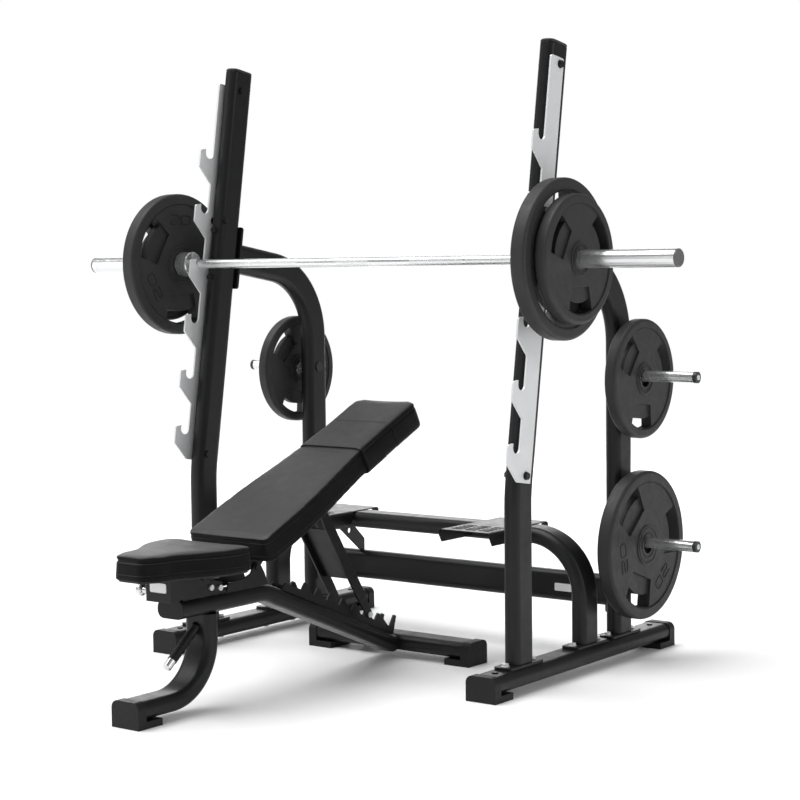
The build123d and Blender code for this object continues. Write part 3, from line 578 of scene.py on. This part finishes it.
def settle(piece, before, cap):
    """Evens out the simulated swelling over the pad, so it crowns without wrinkles, and caps it."""
    mesh = piece.data
    move = positions(mesh) - before
    ends = np.zeros(len(mesh.edges) * 2, int)
    mesh.edges.foreach_get("vertices", ends)
    first, second = ends.reshape(-1, 2).T
    count = np.bincount(ends, minlength=len(move))[:, None]
    for _ in range(EVEN_OUT_PASSES):
        total = np.zeros_like(move)
        np.add.at(total, first, move[second])
        np.add.at(total, second, move[first])
        move = (move + total / np.maximum(count, 1)) / 2
    length = np.linalg.norm(move, axis=1, keepdims=True)
    move *= np.minimum(1.0, cap / np.maximum(length, 1e-9))
    mesh.vertices.foreach_set("co", (before + move).ravel())
    mesh.update()


def cushion(name, node, edge, along, up, depth, voxel, cap):
    """Foam pad: the CAD solid, let out slightly, remeshed and blown up a little as cloth."""
    mesh = nodes[node].data.copy()
    mesh.transform(nodes[node].matrix_world)
    low = min(v.co.dot(along) for v in mesh.vertices)
    high = max(v.co.dot(along) for v in mesh.vertices)
    half = max(abs(v.co.x) for v in mesh.vertices)
    middle = (low + high) / 2
    for vert in mesh.vertices:
        run = vert.co.dot(along) - middle
        vert.co += along * (run * LET_OUT / (high - low) * 2)
        vert.co.x *= 1 + LET_OUT / half
        height = (vert.co - edge).dot(up) + depth
        vert.co += up * (height * LET_OUT / depth)
        if height < depth / 2:
            vert.co -= up * WRAP
    piece = bpy.data.objects.new(name, mesh)
    bpy.context.scene.collection.objects.link(piece)
    remesh = piece.modifiers.new("remesh", "REMESH")
    remesh.mode = "VOXEL"
    remesh.voxel_size = voxel
    baked(piece)
    before = positions(piece.data)
    pinned = piece.vertex_groups.new(name="pinned")
    base = [v.index for v in piece.data.vertices if (v.co - edge).dot(up) < voxel - depth - WRAP]
    pinned.add(base, 1.0, "REPLACE")
    cloth = piece.modifiers.new("cloth", "CLOTH")
    cloth.settings.vertex_group_mass = "pinned"
    cloth.settings.use_pressure = True
    cloth.settings.uniform_pressure_force = 4
    cloth.settings.effector_weights.gravity = 0
    cloth.settings.quality = 4
    cloth.collision_settings.use_collision = False
    scene = bpy.context.scene
    scene.frame_start = 1
    scene.frame_end = SWELL_FRAMES
    for number in range(1, SWELL_FRAMES + 1):
        scene.frame_set(number)
    baked(piece)
    scene.frame_set(1)
    piece.vertex_groups.clear()
    settle(piece, before, cap)
    smooth = piece.modifiers.new("smooth", "SMOOTH")
    smooth.factor = 0.5
    smooth.iterations = 5
    divide = piece.modifiers.new("divide", "SUBSURF")
    divide.levels = 1
    divide.render_levels = 1
    baked(piece)
    return piece


def pinch(piece, origin, normal, depth, width):
    """Draws the surface in along a plane, as a sewn seam does."""
    piece.data.update()
    outward = [vert.normal.copy() for vert in piece.data.vertices]
    for vert, direction in zip(piece.data.vertices, outward):
        gap = (vert.co - origin).dot(normal)
        if abs(gap) < 3 * width:
            direction -= normal * direction.dot(normal)
            vert.co -= direction * (depth * exp(-((gap / width) ** 2)))


def seam(name, piece, cuts, body, radius=0.0011, stitches=()):
    """Raised seam cords along plane sections of a pad, and short stitches along others."""
    shape = bmesh.new()
    for origin, normal in cuts:
        loop = smooth_loop(resample(section_loop(piece, origin, normal), 0.004))
        tube(shape, loop, radius, closed=True, sides=8)
    link_piece(name, mesh_from(shape), piece.active_material, body)
    if stitches:
        shape = bmesh.new()
        for origin, normal in stitches:
            loop = resample(section_loop(piece, origin, normal), 0.0015)
            for i in range(0, len(loop) - 3, 4):
                tube(shape, loop[i:i + 3], 0.00045, sides=6)
        link_piece(name + "_stitches", mesh_from(shape), THREAD, body)


def finish_pad(piece, body, node):
    for face in piece.data.polygons:
        face.use_smooth = True
    piece.data.materials.clear()
    piece.data.materials.append(SEAT_VINYL if body == "seat" else BACK_VINYL)
    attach(piece, body)
    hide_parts(node)


def make_back_cushion():
    piece = cushion(
        "back_cushion", "back_pad", PAD_EDGE, PAD_ALONG, PAD_UP, PAD_SOFT, PAD_VOXEL, CROWN
    )
    line = PAD_EDGE - PAD_UP * 0.010
    lower = PAD_EDGE - PAD_UP * 0.052
    pinch(piece, line, PAD_UP, 0.0030, 0.0032)
    pinch(piece, PAD_EDGE + PAD_ALONG * (COVER_START - 0.002), PAD_ALONG, 0.0022, 0.0028)
    finish_pad(piece, "backrest", "back_pad")
    seam("back_cushion_seam", piece, [(line, PAD_UP), (lower, PAD_UP)], "backrest",
         stitches=[(line - PAD_UP * STITCH_DROP, PAD_UP)])
    return piece


def make_seat_cushion():
    piece = cushion(
        "seat_cushion", "seat_pad", SEAT_TOP, SEAT_ALONG, SEAT_UP, SEAT_SOFT, PAD_VOXEL, CROWN
    )
    line = SEAT_TOP - SEAT_UP * 0.011
    lower = SEAT_TOP - SEAT_UP * 0.047
    pinch(piece, line, SEAT_UP, 0.0042, 0.0036)
    finish_pad(piece, "seat", "seat_pad")
    seam("seat_cushion_seam", piece, [(line, SEAT_UP), (lower, SEAT_UP)], "seat", radius=0.0013,
         stitches=[(line - SEAT_UP * STITCH_DROP, SEAT_UP)])


def make_head_hood(back):
    """Slip-on head cover: the pad's own surface, let out by the cover's thickness."""
    shape = bmesh.new()
    shape.from_mesh(back.data)
    start = PAD_EDGE + PAD_ALONG * COVER_START
    bmesh.ops.bisect_plane(
        shape,
        geom=shape.verts[:] + shape.edges[:] + shape.faces[:],
        plane_co=start,
        plane_no=PAD_ALONG,
        clear_inner=True,
    )
    reach = BOARD_T - WRAP + 0.002
    for vert in shape.verts:
        below = -(vert.co - PAD_EDGE).dot(PAD_UP)
        share = min(max((below - PAD_SOFT * 0.5) / (PAD_SOFT * 0.45), 0.0), 1.0)
        vert.co -= PAD_UP * (reach * share)
    shape.normal_update()
    moves = [
        (vert, vert.normal - PAD_ALONG * min(vert.normal.dot(PAD_ALONG), 0.0))
        for vert in shape.verts
    ]
    for vert, outward in moves:
        vert.co += outward.normalized() * HOOD_THICK
    hem = [edge for edge in shape.edges if edge.is_boundary]
    folded = bmesh.ops.extrude_edge_only(shape, edges=hem)["geom"]
    centre = start - PAD_UP * (PAD_SOFT + BOARD_T) / 2
    for vert in (part for part in folded if isinstance(part, bmesh.types.BMVert)):
        inward = (centre - vert.co).normalized()
        vert.co += inward * 0.0045
    piece = link_piece("head_hood", mesh_from(shape), BACK_VINYL, "backrest")
    middle = PAD_EDGE + PAD_ALONG * COVER_SEAM
    pinch(piece, middle, PAD_ALONG, 0.0012, 0.003)
    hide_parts("head_cover")
    hem_line = start + PAD_ALONG * 0.0015
    stitches = [(middle + PAD_ALONG * 0.005, PAD_ALONG), (hem_line + PAD_ALONG * 0.009, PAD_ALONG)]
    seam("head_hood_seam", piece, [(middle, PAD_ALONG), (hem_line, PAD_ALONG)], "backrest",
         radius=0.0012, stitches=stitches)


back_piece = make_back_cushion()
make_seat_cushion()
make_head_hood(back_piece)


# Discs: hub rings and weight numerals


def numeral_strokes(width, height):
    """Outline strokes of the weight numeral, centred on the origin, as (points, closed)."""
    gap = width * 0.12
    w = (width - gap) / 2
    h = height
    left = -width / 2
    two = [(left, h), (left + w, h), (left + w, h / 2), (left, h / 2), (left, 0), (left + w, 0)]
    right = left + w + gap
    nought = [(right, 0), (right + w, 0), (right + w, h), (right, h)]
    return [
        ([(x, y - h / 2) for x, y in two], False),
        ([(x, y - h / 2) for x, y in nought], True),
    ]


def disc_marks(node, body, turn, spokes=()):
    low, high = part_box(node)
    centre = (low + high) / 2
    radius = (high.z - low.z) / 2
    step = 0.003
    shape = bmesh.new()
    axis = Vector((1, 0, 0))
    for face_x, sign in ((low.x, -1), (high.x, 1)):
        hub = Vector((face_x, centre.y, centre.z))
        panel = Vector((face_x - sign * step, centre.y, centre.z))
        for size, thick in ((0.0365, 0.0016), (radius * 0.235, 0.0014)):
            tube(shape, circle(hub, axis, size, 64), thick, closed=True, sides=8)
        tube(shape, circle(panel, axis, radius * 0.845, 120), 0.0013, closed=True, sides=8)
        for spoke in spokes:
            angle = radians(spoke + turn)
            outward = Vector((0, cos(angle), sin(angle)))
            reading = outward.cross(axis) * sign
            middle = panel + outward * (radius * 0.625)
            for points, closed in numeral_strokes(0.088, 0.030):
                corners = [middle + reading * x + outward * y for x, y in points]
                path = rounded_path(corners, 0.011, closed)
                tube(shape, path, 0.0023, closed=closed, sides=8, flat=0.7, up=axis)
    link_piece("marks_" + node, mesh_from(shape), DISC_MARKS, body)


def make_disc_marks():
    for side, turn in (("left", 0), ("right", -43)):
        disc_marks(f"bar_disc_large_{side}", f"bar_discs_{side}", turn, (90, 210))
        disc_marks(f"bar_disc_small_{side}", f"bar_discs_{side}", 0)
    disc_marks("peg_disc_mid_left", "stored_disc_mid_left", -16)
    disc_marks("peg_disc_mid_right", "stored_disc_mid_right", -8)
    disc_marks("peg_disc_low_right", "stored_disc_low_right", -20, (210, 330))


make_disc_marks()


# Labels, screws and weld beads


def plate(name, centre, across, up, out, width, height, thick, material, body):
    """Blank plate with rounded corners and a raised rim."""
    shape = bmesh.new()
    corners = [
        centre + across * (sx * width / 2) + up * (sy * height / 2)
        for sx, sy in ((-1, -1), (1, -1), (1, 1), (-1, 1))
    ]
    outline = rounded_path(corners, height * 0.2, True)
    levels = ((0.0, 0.0), (thick * 0.7, 0.0), (thick, -0.0006), (thick, -0.0022), (thick * 0.8, -0.0026))
    rings = []
    for rise, grow in levels:
        ring = []
        for point in outline:
            offset = (point - centre).normalized() * grow
            ring.append(shape.verts.new(point + out * rise + offset))
        rings.append(ring)
    for first, second in zip(rings, rings[1:]):
        for i in range(len(first)):
            n = (i + 1) % len(first)
            shape.faces.new((first[i], first[n], second[n], second[i]))
    shape.faces.new(rings[-1])
    shape.faces.new(rings[0][::-1])
    link_piece(name, mesh_from(shape), material, body, smooth=False)


def make_labels():
    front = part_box("seat_carrier")[0].y
    centre = Vector((0, front, SEAT_LABEL_HEIGHT))
    plate("seat_label", centre, Vector((1, 0, 0)), Vector((0, 0, 1)), Vector((0, -1, 0)),
          0.060, 0.026, 0.0012, LABEL, "seat")
    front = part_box("lower_cross_beam")[0].y
    centre = Vector((BEAM_LABEL_X, front, BEAM_LABEL_HEIGHT))
    plate("beam_label", centre, Vector((1, 0, 0)), Vector((0, 0, 1)), Vector((0, -1, 0)),
          0.064, 0.024, 0.0012, LABEL, "rack")


def turned(shape, centre, axis, profile, count=28):
    """Surface of revolution from (distance along the axis, radius) pairs."""
    first = axis.orthogonal().normalized()
    second = axis.cross(first)
    rings = []
    for run, size in profile:
        rings.append([
            shape.verts.new(
                centre + axis * run
                + (first * cos(2 * pi * i / count) + second * sin(2 * pi * i / count)) * size
            )
            for i in range(count)
        ])
    for one, two in zip(rings, rings[1:]):
        for i in range(count):
            n = (i + 1) % count
            shape.faces.new((one[i], one[n], two[n], two[i]))
    shape.faces.new(rings[-1])
    shape.faces.new(rings[0][::-1])


def screw(shape, centre, axis, radius, height):
    """Domed socket screw head with a recessed socket."""
    profile = (
        (0.0, radius), (height * 0.5, radius), (height * 0.85, radius * 0.85),
        (height, radius * 0.5), (height, radius * 0.42), (height * 0.35, radius * 0.4),
    )
    turned(shape, centre, axis, profile, count=24)


def make_peg_screws():
    low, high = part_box("peg_caps")
    y = (low.y + high.y) / 2
    shape = bmesh.new()
    for sign, end in ((-1, low.x), (1, high.x)):
        for z in PEG_HEIGHTS:
            screw(shape, Vector((end - sign * 0.0005, y, z)), Vector((sign, 0, 0)), 0.0078, 0.0035)
    link_piece("peg_screws", mesh_from(shape), ZINC, "rack", smooth=False)


def make_weld_beads():
    shape = bmesh.new()
    pegs_low, pegs_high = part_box("storage_pegs")
    y = (pegs_low.y + pegs_high.y) / 2
    for side, sign in SIDES.items():
        low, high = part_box(f"rear_arch_{side}")
        face = high.x if sign > 0 else low.x
        for z in PEG_HEIGHTS:
            ring = circle(Vector((face, y, z)), Vector((1, 0, 0)), 0.0185, 72)
            tube(shape, ring, 0.0028, closed=True, sides=8, ripple=0.16, waves=1.3)
    link_piece("peg_weld_beads", mesh_from(shape), BLACK_COAT, "rack")


def make_handle_ferrule():
    """Black ferrule between the bench's leg and the handle's rubber grip."""
    axis = Vector((0, -0.779, -0.627)).normalized()
    start = Vector((0, HANDLE_Y, 0.227))
    shape = bmesh.new()
    profile = ((-0.006, 0.0140), (0.003, 0.0140), (0.005, 0.0128), (0.024, 0.0128), (0.0264, 0.0120))
    turned(shape, start, axis, profile)
    link_piece("handle_ferrule", mesh_from(shape), BLACK_COAT, "bench")


make_handle_ferrule()
make_labels()
make_peg_screws()
make_weld_beads()


# Stage, light and camera


def make_floor():
    size = 14.0
    shape = bmesh.new()
    places = ((-size, -size), (size, -size), (size, size), (-size, size))
    corners = [shape.verts.new((x, y, 0.0)) for x, y in places]
    shape.faces.new(corners)
    mesh = mesh_from(shape)
    floor = bpy.data.objects.new("floor", mesh)
    bpy.context.scene.collection.objects.link(floor)
    finish = Finish("pale_floor", 0.55, specular=0.2)
    finish.tint(finish.noise(3.0, 4.0), grey(0.92), grey(0.95))
    finish.roughen(finish.spread(finish.noise(40.0, 5.0), 0.3, 0.7, 0.5, 0.62))
    mesh.materials.append(finish.done())


def make_light(name, place, aim, size, power, spread=180):
    data = bpy.data.lights.new(name, "AREA")
    data.shape = "RECTANGLE"
    data.size, data.size_y = size
    data.energy = power
    data.spread = radians(spread)
    lamp = bpy.data.objects.new(name, data)
    bpy.context.scene.collection.objects.link(lamp)
    lamp.location = place
    lamp.rotation_euler = (Vector(aim) - Vector(place)).to_track_quat("-Z", "Y").to_euler()
    lamp.visible_camera = False


def make_world():
    world = bpy.data.worlds.new("studio")
    world.use_nodes = True
    tree = world.node_tree
    background = tree.nodes["Background"]
    background.inputs["Color"].default_value = (1.0, 1.0, 1.0, 1.0)
    path = tree.nodes.new("ShaderNodeLightPath")
    strength = tree.nodes.new("ShaderNodeMapRange")
    strength.inputs["To Min"].default_value = WORLD_FILL
    strength.inputs["To Max"].default_value = WORLD_BACKDROP
    tree.links.new(path.outputs["Is Camera Ray"], strength.inputs["Value"])
    tree.links.new(strength.outputs["Result"], background.inputs["Strength"])
    bpy.context.scene.world = world


def make_sun():
    data = bpy.data.lights.new("overhead", "SUN")
    data.energy = 3.15
    data.angle = radians(55)
    lamp = bpy.data.objects.new("overhead", data)
    bpy.context.scene.collection.objects.link(lamp)
    lamp.rotation_euler = (radians(14), radians(-16), 0)


def make_camera():
    yaw = radians(37.0)
    pitch = radians(3.995)
    roll = radians(-0.627)
    ahead = Vector((-sin(yaw) * cos(pitch), cos(yaw) * cos(pitch), -sin(pitch)))
    right = Vector((cos(yaw), sin(yaw), 0))
    up = right.cross(ahead)
    tilted_right = right * cos(roll) + up * sin(roll)
    tilted_up = up * cos(roll) - right * sin(roll)
    data = bpy.data.cameras.new("camera")
    data.lens = 85.8
    data.sensor_width = 36
    data.clip_end = 60
    camera = bpy.data.objects.new("camera", data)
    bpy.context.scene.collection.objects.link(camera)
    axes = Matrix((tilted_right, tilted_up, -ahead)).transposed().to_4x4()
    camera.matrix_world = Matrix.Translation((3.5497, -4.3873, 1.2017)) @ axes
    bpy.context.scene.camera = camera


make_floor()
make_world()
make_sun()
make_light("left_bank", (-3.6, -2.4, 1.9), (0, 0, 0.9), (1.6, 3.2), 22)
make_light("right_bank", (4.2, 0.6, 2.2), (0, 0, 0.8), (1.6, 3.2), 30)
make_light("back_bank", (-3.6, 4.8, 1.9), (0, 0, 0.6), (5.0, 2.6), 95)
make_light("front_bank", (-0.8, -5.2, 2.0), (0, 0, 0.8), (2.4, 2.4), 16)
make_camera()
bpy.context.scene.view_settings.view_transform = "Standard"
